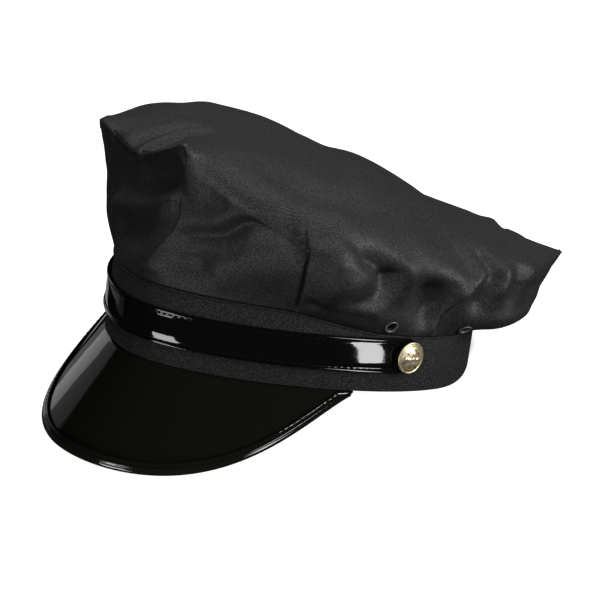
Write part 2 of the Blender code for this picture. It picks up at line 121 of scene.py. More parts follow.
# Folds of the crown. Each row is a height in mm, which is negative for a valley; the half widths on the
# left and on the right as one goes along the fold; and its points, each a turn and a level. Level 0 is
# the foot on the band, 1 the top seam and 2 the middle of the top.
FOLDS = [
    # Centre-front seam, with its pucker at the top
    (-4.0, 0.9, 1.1, [(1.0, 0.985), (1.6, 0.9)]),
    (2.8, 10.0, 0.6, [(1.5, 0.95), (3.5, 0.76), (6.5, 0.6), (7.5, 0.52), (5.5, 0.33), (4, 0.18), (0, 0.03)]),
    (-2.0, 0.55, 0.6, [(1.5, 0.95), (3.5, 0.76), (6.5, 0.6), (7.5, 0.52), (5.5, 0.33), (4, 0.18), (0, 0.03)]),
    # Valley below the top edge, from the front seam to the next one
    (-3.2, 7.0, 4.0, [(4, 0.96), (10.5, 0.98), (16.5, 1.02), (28.5, 0.99), (36.5, 1.02), (41, 1.03)]),
    (-1.6, 3.0, 3.5, [(13, 0.86), (17.5, 0.89)]),
    # Curved fold in the middle of that panel
    (-1.2, 6.0, 6.0, [(14, 0.8), (24, 0.86), (33, 0.92)]),
    (-6.2, 4.5, 9.0, [(11.5, 0.47), (16.5, 0.52), (22, 0.58), (25.5, 0.68), (29.5, 0.77), (34.5, 0.85), (41, 0.93)]),
    (1.2, 6.0, 6.0, [(14, 0.36), (24, 0.46), (32, 0.62), (39, 0.76)]),
    (-1.8, 3.5, 7.0, [(11.5, 0.23), (18, 0.26)]),
    (1.6, 9.0, 9.0, [(25, 0.3), (38, 0.45)]),
    # Seam at the front-left corner
    (-3.6, 1.2, 5.0, [(45.8, 0.97), (45.8, 0.82)]),
    (-2.4, 0.55, 0.7, [(46.5, 0.97), (47, 0.77), (46.5, 0.6), (46.5, 0.45), (46, 0.28), (45.5, 0.03)]),
    # Lump beside it and the arc of folds round the lump
    (-3.0, 5.0, 5.0, [(50, 1.0), (55, 1.03), (60, 1.03), (65, 0.96)]),
    (-5.0, 6.0, 6.0, [(65, 0.96), (68, 0.86), (69.5, 0.74)]),
    (-4.2, 5.0, 6.0, [(70, 0.7), (70, 0.58), (67, 0.44), (61, 0.3)]),
    (2.6, 11.0, 11.0, [(54.5, 0.7), (58, 0.52)]),
    (2.0, 5.0, 5.0, [(75, 0.95), (76.5, 0.75), (75, 0.55)]),
    (-7.0, 7.0, 8.0, [(82, 0.56), (83.5, 0.4)]),
    (2.0, 5.0, 5.0, [(87, 0.95), (87.5, 0.75)]),
    (-1.2, 3.0, 4.0, [(50, 0.16), (58, 0.12), (66, 0.16)]),
    # Overlapping fold down the side seam, and the hollow behind it
    (2.6, 0.6, 5.0, [(93.5, 0.92), (90.5, 0.78), (87.5, 0.52), (86.5, 0.27), (86.5, 0.06)]),
    (-2.2, 0.6, 0.6, [(93.8, 0.92), (90.8, 0.78), (87.8, 0.52), (86.8, 0.27), (86.8, 0.06)]),
    (-4.0, 5.0, 5.0, [(97, 0.84), (95.5, 0.7), (94, 0.53)]),
    (-2.4, 3.0, 4.0, [(95, 1.0), (97.5, 1.1)]),
    (2.4, 4.0, 5.0, [(102, 0.93), (101.5, 0.86), (99.5, 0.65)]),
    (-2.4, 4.0, 5.0, [(108, 0.9), (106, 0.7), (104, 0.5)]),
    (-2.0, 8.0, 8.0, [(102, 1.05), (112, 1.12)]),
    (1.5, 4.0, 4.0, [(112, 0.75), (118, 0.6), (120, 0.4)]),
    # Back and the wearer's right
    (-1.6, 6.0, 6.0, [(132, 0.56), (130, 0.38)]),
    (1.4, 9.0, 9.0, [(103, 0.17), (114, 0.2)]),
    (-3.0, 7.0, 8.0, [(148, 0.6), (157, 0.7), (166, 0.76)]),
    (1.6, 4.0, 4.0, [(150, 0.4), (160, 0.5), (168, 0.5)]),
    (2.0, 5.0, 5.0, [(173, 0.9), (178, 0.3)]),
    (-1.6, 0.8, 1.6, [(180, 0.97), (181, 0.5), (180, 0.03)]),
    (-1.6, 0.8, 1.6, [(135, 0.97), (134, 0.5), (134, 0.03)]),
    (-1.6, 0.8, 1.6, [(225, 0.97), (226, 0.5), (225, 0.03)]),
    (-1.6, 0.8, 1.6, [(270, 0.97), (271, 0.5), (270, 0.03)]),
    (-1.6, 0.8, 1.6, [(315, 0.9), (314, 0.5), (315, 0.03)]),
    (-2.5, 6.0, 7.0, [(198, 0.66), (208, 0.5), (216, 0.36)]),
    (1.5, 5.0, 5.0, [(192, 0.4), (204, 0.3), (212, 0.2)]),
    (2.0, 5.0, 5.0, [(225, 0.9), (223, 0.3)]),
    (-3.0, 7.0, 7.0, [(240, 0.82), (248, 0.62), (252, 0.42)]),
    (1.6, 5.0, 5.0, [(250, 0.85), (257, 0.65), (260, 0.4)]),
    (2.0, 5.0, 5.0, [(262, 0.9), (268, 0.4)]),
    (-3.0, 8.0, 8.0, [(284, 0.76), (292, 0.66), (300, 0.55)]),
    (1.5, 5.0, 5.0, [(280, 0.5), (290, 0.42), (302, 0.36)]),
    # Fuller side below the corner at the right of the front
    (1.6, 6.0, 6.0, [(314, 0.86), (314, 0.7)]),
    # Panel to the right of the centre front: two hollows with a soft ridge between
    (-2.6, 11.0, 11.0, [(344, 0.78), (353, 0.75)]),
    (-4.4, 9.0, 9.0, [(338, 0.24), (354, 0.28)]),
    (5.4, 6.0, 6.0, [(330, 0.43), (337, 0.46), (346, 0.48), (356, 0.52), (2, 0.58)]),
    # Pinched fold running back over the top from the dip in the front edge
    (2.4, 2.2, 4.5, [(338, 1.03), (337.2, 1.16), (336, 1.38)]),
    (-2.2, 4.0, 5.0, [(331, 1.05), (329, 1.2), (327, 1.34)]),
    (-1.8, 3.0, 2.0, [(341, 1.02), (341, 1.12), (340, 1.22)]),
    (-2.4, 3.5, 3.5, [(324, 0.97), (330, 0.96), (336, 0.99)]),
    (-1.2, 8.0, 8.0, [(290, 1.3), (294, 1.38)]),
    # Slack of the top
    (-1.6, 10.0, 10.0, [(20, 1.3), (45, 1.26), (62, 1.24)]),
    (1.2, 8.0, 8.0, [(38, 1.14), (52, 1.13), (66, 1.13)]),
    (-1.5, 9.0, 9.0, [(75, 1.25), (100, 1.3)]),
    (1.4, 8.0, 8.0, [(80, 1.12), (90, 1.2), (98, 1.28)]),
    (1.0, 12.0, 12.0, [(176, 1.48), (194, 1.66)]),
    (-1.4, 9.0, 9.0, [(215, 1.3), (240, 1.35)]),
    (1.4, 8.0, 8.0, [(255, 1.2), (280, 1.25)]),
    (-1.2, 9.0, 9.0, [(290, 1.3), (305, 1.45)]),
]
# How softly the top bends into the side: each row is a turn and a share, which is 0 for a sharp edge.
SOFT_EDGE = [
    (0, 0.0),
    (3, 0.0),
    (9, 0.6),
    (40, 0.6),
    (46, 0.3),
    (52, 0.8),
    (118, 0.7),
    (132, 0.0),
    (138, 0.0),
    (150, 0.05),
    (210, 0.05),
    (300, 0.2),
    (310, 0.0),
    (360, 0.0),
]
SOFT_ROWS = 18
SOFT_ROUNDS = 130
# A fold has its full left or right width once a point lies this much to that side of its line.
FULL_SIDE = 1.5
SMALLEST_DISTANCE = 0.001

# Peak and its binding
PEAK_HALF_TURN = 67.0
PEAK_WIDTH = 52.3
PEAK_FULLNESS = 2.41
PEAK_TAPER = 1.45
PEAK_SLOPE = 56.5
PEAK_END_SLOPE = 60.7
PEAK_WALL = 1.8
PEAK_END = 0.965
PEAK_STEPS = 200
PEAK_ROWS = 40
PEAK_FLANGE = 1.6
BINDING_WALL = 0.8
BINDING_LEG = 5.5
BINDING_END = 0.955
BINDING_STEPS = 520
BINDING_ROOT_CLEARANCE = 0.6

# Chin strap
STRAP_WIDTH = 16.1
STRAP_HEIGHT = 17.3
STRAP_WALL = 1.3
STRAP_WELT_WIDTH = 1.6
STRAP_WELT_RISE = 0.7
STRAP_END_TURN = 77.0
STRAP_STEPS = 520

# Stitches
STITCH_PITCH = 2.9
STITCH_LENGTH = 2.1
STITCH_RADIUS = 0.17
PUCKER_DEPTH = 0.02
STRAP_PUCKER_DEPTH = 0.003
BINDING_STITCH_SHARE = 0.72
WELT_STITCH_SHARE = 1.18
BINDING_LONG_WAVE = 31.0
BINDING_SHORT_WAVE = 11.3
STRAP_WAVE = 33.0

# Buttons
BUTTON_TURN = 77.9
BUTTON_FACING = 85.0
BUTTON_STAND_OFF = 1.1
BUTTON_STEPS = 96
# Each row is a radius and a height above the base.
BUTTON_PROFILE = [
    (2.2, -1.5),
    (2.2, 0.0),
    (6.6, 0.0),
    (7.0, 0.08),
    (7.3, 0.35),
    (7.35, 0.65),
    (7.25, 0.95),
    (7.0, 1.14),
    (6.7, 1.16),
    (6.45, 1.05),
    (6.3, 1.02),
    (6.1, 1.22),
    (5.6, 1.58),
    (5.0, 1.92),
    (4.4, 2.18),
    (3.8, 2.38),
    (3.2, 2.54),
    (2.6, 2.67),
    (2.0, 2.76),
    (1.4, 2.83),
    (0.8, 2.87),
    (0.3, 2.89),
]

# Eyelets, with each one's turn on the crown
EYELETS = [
    ("eyelet_left_front", 73.0),
    ("eyelet_left_back", 95.0),
    ("eyelet_right_front", -73.0),
    ("eyelet_right_back", -95.0),
]
EYELET_LEVEL = 0.115
EYELET_STEPS = 48
EYELET_CLEAR = 2.9
# Each row is a radius and a height above the crown's outer face.
EYELET_PROFILE = [
    (2.3, -1.4),
    (2.5, -1.4),
    (2.5, 0.1),
    (3.2, 0.1),
    (3.35, 0.2),
    (3.35, 0.35),
    (3.2, 0.5),
    (2.95, 0.6),
    (2.65, 0.6),
    (2.45, 0.5),
    (2.32, 0.35),
    (2.3, 0.1),
]

# Camera, in metres in the frame's own axes
CAMERA_PLACE = (0.9096, -0.86852, 0.57828)
CAMERA_AIM = (0.01171, -0.00293, 0.04359)
CAMERA_ROLL = -0.494
CAMERA_LENS = 171.5

# Lights. Each row is a name, an azimuth and an elevation as seen from the cap, the distance, width and
# height in metres, the radiance, and what it lights: the shiny pieces, the matt ones, or the matt ones'
# sheen or diffuse light alone.
LIGHTS = [
    ("overhead", -150.0, 70.0, 2.2, 2.6, 2.2, 1.1, "matt"),
    ("front_top", -30.0, 72.0, 2.2, 1.6, 1.6, 1.1, "matt"),
    ("right_soft", 112.0, 20.0, 2.0, 1.4, 1.2, 6.8, "matt"),
    ("key", 84.0, 42.0, 2.2, 1.2, 1.2, 0.9, "matt"),
    ("front_soft", 40.0, 20.0, 2.0, 1.2, 1.0, 1.6, "matt"),
    ("fill", 10.0, 0.0, 2.0, 2.4, 2.0, 0.24, "matt"),
    ("back_fill", -145.0, 15.0, 2.2, 2.4, 2.0, 0.6, "diffuse"),
    ("front_sheen", 2.0, -12.0, 1.6, 1.1, 1.2, 1.6, "sheen"),
    ("right_strip", 81.5, 6.0, 1.5, 0.30, 1.55, 15.0, "shiny"),
    ("front_card", -8.0, -24.0, 1.3, 0.44, 0.62, 9.0, "shiny"),
    ("front_strip", -7.0, 22.0, 1.6, 0.40, 0.5, 6.0, "shiny"),
    ("left_card", -101.0, 2.0, 1.6, 0.36, 0.62, 0.45, "shiny"),
    ("left_wash", -97.0, 0.0, 1.7, 1.0, 0.9, 0.11, "shiny"),
    ("left_veil", -92.0, 0.0, 1.8, 1.4, 1.0, 0.06, "shiny"),
    ("warm_card", -120.0, -21.0, 1.4, 0.5, 0.16, 0.3, "shiny"),
]
SHINY_SLOTS = ["peak_patent", "binding_patent", "strap_patent"]
LIGHT_AIM = (0.0, 0.0, 0.06)
WORLD_STRENGTH = 1.0
FLOOR_GLOW = 0.95
FLOOR_SIZE = 40.0
# Disc under the cap where the floor's glow fades to none: a painted shadow
FLOOR_SHADE_CENTRE = (0.005, 0.060, 0.0)
FLOOR_SHADE_CORE = 0.040
FLOOR_SHADE_RADIUS = 0.048


def oval_factor(angle, squareness):
    """Length of the outline's radius vector relative to an ellipse, before scaling."""
    across = (np.sin(angle) ** 2 + HEAD_SOFTNESS) ** (squareness / 2)
    along = (np.cos(angle) ** 2 + HEAD_SOFTNESS) ** (squareness / 2)
    return (across + along) ** (-1 / squareness)


def outline(turn):
    """Points of the band's outer outline at the turns, at height zero."""
    angle = np.radians(np.asarray(turn, float))
    front = np.cos(angle) > 0
    back = np.where(np.sin(angle) > 0, HEAD_BACK_LEFT_SQUARENESS, HEAD_BACK_RIGHT_SQUARENESS)
    squareness = np.where(front, HEAD_FRONT_SQUARENESS, back)
    factor = oval_factor(angle, squareness) / oval_factor(0.0, squareness)
    length = np.where(front, HEAD_FRONT_LENGTH, HEAD_BACK_LENGTH)
    x = HEAD_HALF_WIDTH * factor * np.sin(angle)
    y = -length * factor * np.cos(angle)
    return np.stack([x, y, np.zeros_like(x)], axis=-1)


def outward(turn):
    """Unit vectors square to the outline, pointing away from the head."""
    turn = np.asarray(turn, float)
    along = outline(turn + 0.5) - outline(turn - 0.5)
    normal = np.stack([along[..., 1], -along[..., 0], np.zeros_like(along[..., 0])], axis=-1)
    return normal / np.linalg.norm(normal, axis=-1, keepdims=True)


def lift(points, height):
    """The points raised by the height."""
    raised = np.array(points, float)
    raised[..., 2] += height
    return raised


def hermite(start, end, start_slope, end_slope, part):
    """Cubic between two values with given slopes per unit of the part."""
    return (
        (2 * part**3 - 3 * part**2 + 1) * start
        + (part**3 - 2 * part**2 + part) * start_slope
        + (3 * part**2 - 2 * part**3) * end
        + (part**3 - part**2) * end_slope
    )


def round_the_head(turns, values, corners, wanted):
    """Smooth closed interpolation of the values round the head, kinked at the corners."""
    turns = np.asarray(turns, float)
    values = np.asarray(values, float)
    count = len(turns)
    wanted = np.mod(np.asarray(wanted, float), 360.0)
    first = np.searchsorted(turns, wanted, side="right") - 1
    second = (first + 1) % count
    steps = np.mod(np.roll(turns, -1) - turns, 360.0)
    rise = (np.roll(values, -1) - values) / steps
    smooth = (np.roll(values, -1) - np.roll(values, 1)) / (steps + np.roll(steps, 1))
    leaving = np.where(corners, rise, smooth)
    arriving = np.where(corners, np.roll(rise, 1), smooth)
    step = steps[first]
    part = (wanted - turns[first]) / step
    return hermite(values[first], values[second], leaving[first] * step, arriving[second] * step, part)


def through(levels, values, wanted):
    """Smooth interpolation through values given at levels, along the first axis."""
    slopes = np.gradient(values, levels, axis=0)
    first = min(int(np.searchsorted(levels, wanted, side="right")) - 1, len(levels) - 2)
    step = levels[first + 1] - levels[first]
    part = (wanted - levels[first]) / step
    return hermite(values[first], values[first + 1], slopes[first] * step, slopes[first + 1] * step, part)


def band_height(turn):
    """Height of the band's upper edge at the turns."""
    turns = [row[0] for row in BAND_HEIGHTS]
    heights = [row[1] for row in BAND_HEIGHTS]
    return round_the_head(turns, heights, [False] * len(turns), turn)


def station(column, turn):
    """A column of the stations' table interpolated smoothly at the turns."""
    turns = [row[0] for row in STATIONS]
    values = [row[column] for row in STATIONS]
    return round_the_head(turns, values, [False] * len(turns), turn)


def top_seam(turn):
    """Points of the crown's top seam, which has a kink at each corner."""
    turns = [row[0] for row in STATIONS]
    corners = [row[5] for row in STATIONS]
    axes = [[row[axis] for row in STATIONS] for axis in (2, 3, 4)]
    return np.stack([round_the_head(turns, axis, corners, turn) for axis in axes], axis=-1)


def rounded_seam(turn):
    """Plan of the top seam with its corners rounded away."""
    rounded = 0.0
    for offset in SEAM_ROUNDING:
        rounded = rounded + top_seam(turn + offset)[..., :2] / len(SEAM_ROUNDING)
    return rounded


def crown_base(turn, level):
    """Crown points before the folds: level 0 is the foot, 1 the top seam and 2 the centre."""
    seam = top_seam(turn)
    if level <= 1.0:
        foot_turn = turn + station(1, turn)
        foot = outline(foot_turn)
        foot[..., 2] = band_height(foot_turn) + GAP
        flat = np.zeros_like(foot_turn)
        bulges = [flat, station(6, turn), station(7, turn), station(8, turn), flat]
        bulge = through(SIDE_SHAPE_LEVELS, np.stack(bulges), level)
        return foot + level * (seam - foot) + outward(turn) * bulge[..., None]
    out = 2.0 - level
    sharp = np.clip((out - CORNER_FADE) / (1.0 - CORNER_FADE), 0.0, 1.0)
    centre = np.full_like(seam[..., 2], CROWN_CENTRE_HEIGHT)
    heights = [centre, station(10, turn), station(9, turn), seam[..., 2]]
    plan = seam[..., :2] * sharp + rounded_seam(turn) * (1.0 - sharp)
    height = through(TOP_SHAPE_LEVELS, np.stack(heights), out)
    return np.concatenate([plan * out, height[..., None]], axis=-1)


def grid_normals(points):
    """Outward unit normals of a grid of points that is closed along its first axis."""
    around = np.roll(points, -1, axis=0) - np.roll(points, 1, axis=0)
    upward = np.gradient(points, axis=1)
    normals = np.cross(around, upward)
    return normals / np.linalg.norm(normals, axis=-1, keepdims=True)


def fold_shift(points, normals, line, height, left_width, right_width):
    """Shift along the normals that one fold gives, from the nearest place on its line."""
    best = np.full(points.shape[:2], np.inf)
    width = np.full(points.shape[:2], left_width)
    for start, end in zip(line[:-1], line[1:]):
        along = end - start
        part = np.clip((points - start) @ along / (along @ along), 0.0, 1.0)
        apart = points - start - part[..., None] * along
        distance = np.linalg.norm(apart, axis=-1)
        cross = np.cross(np.broadcast_to(along / np.linalg.norm(along), apart.shape), apart)
        side = np.einsum("ijk,ijk->ij", cross, normals) / np.maximum(distance, SMALLEST_DISTANCE)
        side = np.clip(FULL_SIDE * side, -1.0, 1.0)
        both = 0.5 * (left_width + right_width) + 0.5 * (left_width - right_width) * side
        nearer = distance < best
        best = np.where(nearer, distance, best)
        width = np.where(nearer, both, width)
    return height * np.exp(-((best / width) ** 2))


def fold_line(corners):
    """Points of the crown along a fold, with each stretch halved and its middle rounded."""
    corners = np.array([(turn if turn < 300 else turn - 360, level) for turn, level in corners], float)
    middles = 0.5 * (corners[:-1] + corners[1:])
    halved = np.empty((2 * len(corners) - 1, 2))
    halved[0::2] = corners
    halved[1::2] = middles
    halved[2:-2:2] = 0.5 * halved[2:-2:2] + 0.25 * (halved[1:-3:2] + halved[3:-1:2])
    return [crown_base(np.array(turn), level) for turn, level in halved]


def crown_grid(turns, levels):
    """Crown points with their folds, one row of the grid for each turn."""
    levels = np.asarray(levels)
    points = soften_edge(np.stack([crown_base(turns, level) for level in levels], axis=1), turns, levels)
    normals = grid_normals(points)
    shift = np.zeros(points.shape[:2])
    for height, left_width, right_width, corners in FOLDS:
        shift += fold_shift(points, normals, fold_line(corners), height, left_width, right_width)
    shift *= np.clip(levels / FOOT_HOLD, 0.0, 1.0)
    return points + normals * shift[..., None]


def soften_edge(points, turns, levels):
    """The grid with the edge between its side and its top bent softly, by the soft edge's table."""
    share = np.interp(turns, [row[0] for row in SOFT_EDGE], [row[1] for row in SOFT_EDGE])[:, None, None]
    middle = int(np.argmin(np.abs(levels - 1.0)))
    band = points[:, middle - SOFT_ROWS : middle + SOFT_ROWS + 1]
    for _ in range(SOFT_ROUNDS):
        mean = 0.5 * (band[:, :-2] + band[:, 2:])
        band[:, 1:-1] += share * (mean - band[:, 1:-1])
    return points


def place():
    """Matrix from the cap's own metres to the frame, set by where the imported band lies."""
    turning = Matrix.Rotation(np.radians(-LEAN), 4, "X")
    turns = np.arange(96) * 3.75
    ring = outline(turns)
    corners = np.vstack([ring, lift(ring, band_height(turns)), inner_ring(turns)]) * MM
    turned_corners = corners @ np.array(turning.to_3x3()).T
    low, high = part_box("band")
    wanted = 0.5 * (low + high)
    middle = 0.5 * (turned_corners.min(axis=0) + turned_corners.max(axis=0))
    return Matrix.Translation(wanted - Vector(middle)) @ turning


def inner_ring(turns):
    """Lower inner edge of the band at the turns."""
    return outline(turns) - outward(turns) * BAND_WALL


def new_piece(name, points, faces, slot, nodes, material, maps=None, top=None):
    """Smooth mesh that stands for the nodes, with maps in mm along the cloth if given; top gives which
    points lie on the crown's top, and the maps for the faces that lie there."""
    mesh = bpy.data.meshes.new(name)
    placed = np.asarray(points, float) * MM @ np.array(PLACE.to_3x3()).T + np.array(PLACE.translation)
    mesh.from_pydata(placed.tolist(), [], faces)
    mesh.polygons.foreach_set("use_smooth", [True] * len(mesh.polygons))
    if maps is not None:
        corners = np.empty(len(mesh.loops), np.int32)
        mesh.loops.foreach_get("vertex_index", corners)
        layer = mesh.uv_layers.new(name="cloth")
        places = np.asarray(maps, np.float32)[corners]
        if top is not None:
            sizes = [len(face) for face in faces]
            starts = np.concatenate([[0], np.cumsum(sizes[:-1])])
            whole = np.repeat(np.logical_and.reduceat(top[0][corners], starts), sizes)
            places = np.where(whole[:, None], top[1][corners], places).astype(np.float32)
        layer.data.foreach_set("uv", places.ravel())
    mesh.materials.append(material)
    mesh.update()
    made = bpy.data.objects.new(name, mesh)
    bpy.context.scene.collection.objects.link(made)
    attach(made, "root")
    PIECES.append((made, slot))
    if nodes:
        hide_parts(*nodes)
    return made


def sweep_faces(rows, profile_count, closed):
    """Faces of a closed profile swept through the rows, with caps unless the sweep is closed."""
    faces = []
    for row in range(rows if closed else rows - 1):
        here = row * profile_count
        there = (row + 1) % rows * profile_count
        for index in range(profile_count):
            after = (index + 1) % profile_count
            faces.append((here + index, here + after, there + after, there + index))
    if not closed:
        last = (rows - 1) * profile_count
        faces.append(tuple(reversed(range(profile_count))))
        faces.append(tuple(last + index for index in range(profile_count)))
    return faces


def new_material(name):
    """Material with a Principled shader, its node tree and the shader."""
    material = bpy.data.materials.new(name)
    material.use_nodes = True
    tree = material.node_tree
    return material, tree, tree.nodes["Principled BSDF"]


def add_node(tree, kind, inputs, **settings):
    """Node with its settings, its sockets set to values or linked from other sockets."""
    node = tree.nodes.new(kind)
    for key, value in settings.items():
        setattr(node, key, value)
    for key, value in inputs.items():
        if isinstance(value, bpy.types.NodeSocket):
            tree.links.new(value, node.inputs[key])
        else:
            node.inputs[key].default_value = value
    return node


def cloth_material(name, dark, light, sheen, roughness, gloss, twill_pitch, turn):
    """Black twill whose fine diagonal ribs follow the cloth's own map, in mm."""
    material, tree, shader = new_material(name)
    place_on_cloth = add_node(tree, "ShaderNodeUVMap", {}, uv_map="cloth")
    turned = add_node(
        tree, "ShaderNodeMapping",
        {"Vector": place_on_cloth.outputs["UV"], "Rotation": (0.0, 0.0, np.radians(turn))},
    )
    ribs = add_node(
        tree,
        "ShaderNodeTexWave",
        {"Vector": turned.outputs["Vector"], "Scale": 0.314 / twill_pitch, "Distortion": 0.35, "Detail": 1.0,
         "Detail Scale": 3.0},
        wave_type="BANDS",
        bands_direction="X",
    )
    threads = add_node(
        tree,
        "ShaderNodeTexWave",
        {"Vector": turned.outputs["Vector"], "Scale": 0.314 / (0.55 * twill_pitch), "Distortion": 0.6,
         "Detail": 1.0},
        wave_type="BANDS",
        bands_direction="Y",
    )
    where = add_node(tree, "ShaderNodeTexCoord", {})
    grain = add_node(
        tree, "ShaderNodeTexNoise", {"Vector": where.outputs["Object"], "Scale": 1700.0, "Detail": 2.0},
    )
    weave = add_node(
        tree,
        "ShaderNodeMix",
        {"Factor": 0.35, "A": ribs.outputs["Fac"], "B": threads.outputs["Fac"]},
        data_type="FLOAT",
    )
    tone = add_node(
        tree,
        "ShaderNodeMix",
        {"Factor": 0.86, "A": weave.outputs["Result"], "B": grain.outputs["Fac"]},
        data_type="FLOAT",
    )
    spread = add_node(
        tree, "ShaderNodeMapRange", {"Value": tone.outputs["Result"], "From Min": 0.38, "From Max": 0.62}
    )
    colour = add_node(
        tree,
        "ShaderNodeMix",
        {"Factor": spread.outputs["Result"], "A": (*dark, 1.0), "B": (*light, 1.0)},
        data_type="RGBA",
    )
    tree.links.new(colour.outputs["Result"], shader.inputs["Base Color"])
    rough = add_node(
        tree,
        "ShaderNodeMapRange",
        {"Value": spread.outputs["Result"], "To Min": roughness + 0.14, "To Max": roughness - 0.1},
    )
    tree.links.new(rough.outputs["Result"], shader.inputs["Roughness"])
    weave_bump = add_node(
        tree, "ShaderNodeBump", {"Height": weave.outputs["Result"], "Strength": 0.3, "Distance": 0.0001}
    )
    grain_bump = add_node(
        tree,
        "ShaderNodeBump",
        {"Height": grain.outputs["Fac"], "Strength": 0.55,
         "Distance": 0.0003, "Normal": weave_bump.outputs["Normal"]},
    )
    crumple = add_node(
        tree, "ShaderNodeTexNoise", {"Vector": place_on_cloth.outputs["UV"], "Scale": 0.09, "Detail": 2.0},
    )
    soft_bump = add_node(
        tree,
        "ShaderNodeBump",
        {"Height": crumple.outputs["Fac"], "Strength": 0.3,
         "Distance": 0.002, "Normal": grain_bump.outputs["Normal"]},
    )
    tree.links.new(soft_bump.outputs["Normal"], shader.inputs["Normal"])
    shader.inputs["Sheen Weight"].default_value = sheen
    shader.inputs["Sheen Roughness"].default_value = 0.45
    shader.inputs["Specular IOR Level"].default_value = gloss
    return material


def patent_material(name, colour, ripple):
    """Black patent with a mirror coat whose skin is faintly uneven."""
    material, tree, shader = new_material(name)
    where = add_node(tree, "ShaderNodeTexCoord", {})
    skin = add_node(
        tree, "ShaderNodeTexNoise", {"Vector": where.outputs["Object"], "Scale": 55.0, "Detail": 2.0},
    )
    fine = add_node(
        tree, "ShaderNodeTexNoise", {"Vector": where.outputs["Object"], "Scale": 420.0, "Detail": 3.0},
    )
    soft = add_node(
        tree, "ShaderNodeBump", {"Height": skin.outputs["Fac"], "Strength": ripple, "Distance": 0.0012},
    )
    tiny = add_node(
        tree,
        "ShaderNodeBump",
        {"Height": fine.outputs["Fac"], "Strength": 0.12,
         "Distance": 0.0001, "Normal": soft.outputs["Normal"]},
    )
    tree.links.new(tiny.outputs["Normal"], shader.inputs["Normal"])
    rough = add_node(
        tree, "ShaderNodeMapRange", {"Value": fine.outputs["Fac"], "To Min": 0.035, "To Max": 0.075}
    )
    tree.links.new(rough.outputs["Result"], shader.inputs["Roughness"])
    shader.inputs["Base Color"].default_value = (*colour, 1.0)
    shader.inputs["Specular IOR Level"].default_value = 0.5
    return material


def metal_material(name, colour, dark, roughness, spots, metallic):
    """Plated metal with darker film in random patches and a faintly uneven face."""
    material, tree, shader = new_material(name)
    where = add_node(tree, "ShaderNodeTexCoord", {})
    film = add_node(
        tree, "ShaderNodeTexNoise", {"Vector": where.outputs["Object"], "Scale": spots, "Detail": 4.0},
    )
    share = add_node(
        tree, "ShaderNodeMapRange", {"Value": film.outputs["Fac"], "From Min": 0.5, "From Max": 0.66}
    )
    mixed = add_node(
        tree,
        "ShaderNodeMix",
        {"Factor": share.outputs["Result"], "A": (*colour, 1.0), "B": (*dark, 1.0)},
        data_type="RGBA",
    )
    tree.links.new(mixed.outputs["Result"], shader.inputs["Base Color"])
    rough = add_node(
        tree,
        "ShaderNodeMapRange",
        {"Value": film.outputs["Fac"], "To Min": roughness, "To Max": roughness + 0.12},
    )
    tree.links.new(rough.outputs["Result"], shader.inputs["Roughness"])
    bump = add_node(
        tree, "ShaderNodeBump", {"Height": film.outputs["Fac"], "Strength": 0.15, "Distance": 0.0002},
    )
    tree.links.new(bump.outputs["Normal"], shader.inputs["Normal"])
    shader.inputs["Metallic"].default_value = metallic
    return material


def thread_material(name, colour):
    """Thread with fine twisted strands."""
    material, tree, shader = new_material(name)
    where = add_node(tree, "ShaderNodeTexCoord", {})
    strands = add_node(
        tree,
        "ShaderNodeTexWave",
        {"Vector": where.outputs["Object"], "Scale": 900.0, "Distortion": 1.0},
        bands_direction="DIAGONAL",
    )
    bump = add_node(
        tree, "ShaderNodeBump", {"Height": strands.outputs["Fac"], "Strength": 0.4, "Distance": 0.0001},
    )
    tree.links.new(bump.outputs["Normal"], shader.inputs["Normal"])
    shader.inputs["Base Color"].default_value = (*colour, 1.0)
    shader.inputs["Roughness"].default_value = 0.7
    shader.inputs["Specular IOR Level"].default_value = 0.15
    return material


def eyelet_places():
    """Point on the crown's outer face and its normal for each eyelet."""
    places = []
    for name, turn in EYELETS:
        turns = turn + np.array([-2.5, 0.0, 2.5])
        levels = [EYELET_LEVEL - 0.05, EYELET_LEVEL, EYELET_LEVEL + 0.05]
        patch = np.stack([crown_base(turns, each) for each in levels], axis=1)
        normal = np.cross(patch[2, 1] - patch[0, 1], patch[1, 2] - patch[1, 0])
        places.append((name, patch[1, 1], normal / np.linalg.norm(normal)))
    return places


def graded_turns():
    """Turns round the crown that stand closer where seams and narrow folds run."""
    fine = np.linspace(0.0, 360.0, 3601)
    density = np.ones_like(fine)
    for turn, spread, gain in CLOSER_COLUMNS:
        apart = np.mod(fine - turn + 180.0, 360.0) - 180.0
        density += gain * np.exp(-((apart / spread) ** 2))
    total = np.concatenate([[0.0], np.cumsum(0.5 * (density[1:] + density[:-1]))])
    return np.interp(np.arange(CROWN_STEPS) / CROWN_STEPS * total[-1], total, fine)


